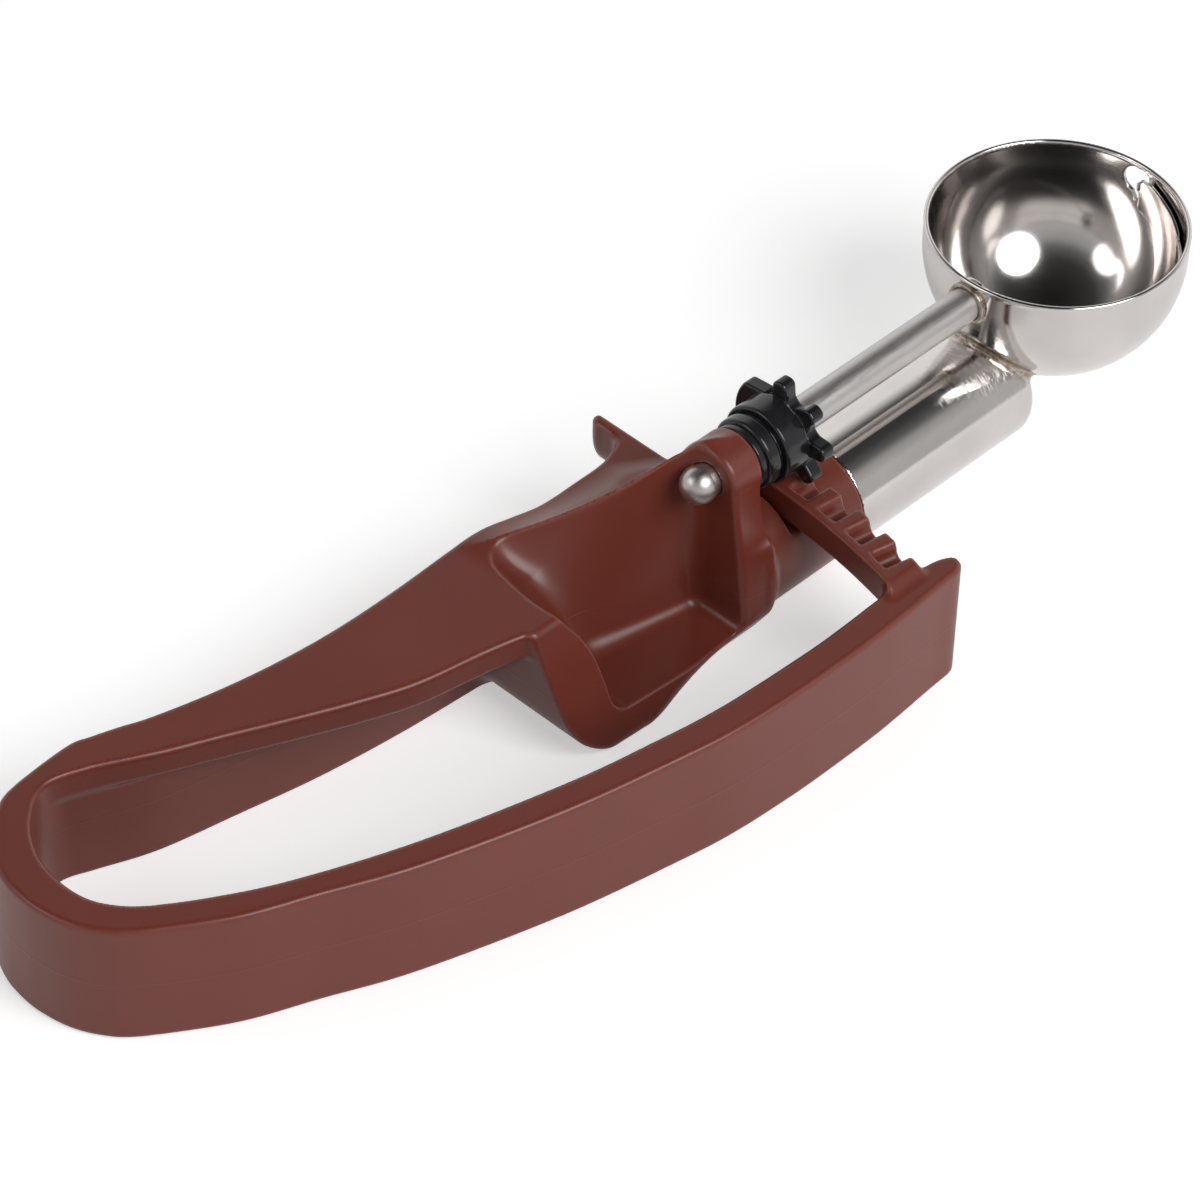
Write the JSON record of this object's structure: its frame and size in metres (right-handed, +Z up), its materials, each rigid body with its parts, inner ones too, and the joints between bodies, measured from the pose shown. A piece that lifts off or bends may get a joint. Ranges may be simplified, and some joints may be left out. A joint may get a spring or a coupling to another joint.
{
  "type": "ice cream scoop",
  "caption": "Lever ice cream scoop: a round steel bowl on a shank, a scraper blade turned by a rack and gear, and a plastic squeeze handle with a springy heel.",
  "frame": {"origin": "middle of the base of the bounding box, on the handle's flat underside", "axes": "+X along the shank towards the bowl, +Z up out of the open bowl, the squeeze lever on the -Y side"},
  "size_m": [0.2134, 0.063, 0.0375],
  "materials": {
    "handle_plastic": "terracotta red-brown moulded plastic, satin gloss",
    "shank_steel": "drawn stainless steel, softly polished",
    "polished_steel": "mirror-polished stainless steel",
    "rod_steel": "satin ground stainless steel",
    "gear_plastic": "black moulded plastic, glossy"
  },
  "bodies": {
    "handle": {"handle_frame": "handle_plastic", "heel_spring": "handle_plastic", "shank_tube": "shank_steel", "braze_saddle": "shank_steel", "bowl": "polished_steel", "rod_eyelet": "polished_steel"},
    "lever": {"squeeze_lever": "handle_plastic", "gear_rack": "handle_plastic"},
    "spindle": {"blade_rod": "rod_steel", "scraper_blade": "polished_steel", "blade_stud": "rod_steel", "drive_gear": "gear_plastic", "thrust_washer": "gear_plastic"}
  },
  "joints": [
    {"name": "lever_squeeze", "type": "hinge", "parent": "handle", "child": "lever", "pos_m": [-0.09414, 0.00276, 0.01033], "axis": [0, 0, 1], "range_deg": [0, 8.5], "stiffness_Nm_per_rad": 5.5, "springref_deg": -2.86},
    {"name": "blade_turn", "type": "hinge", "parent": "handle", "child": "spindle", "pos_m": [0.02686, 0.00176, 0.02873], "axis": [1, 0, 0], "range_deg": [0, 136.5]}
  ],
  "couplings": [
    {"joint": "blade_turn", "follows": "lever_squeeze", "ratio": 16}
  ]
}
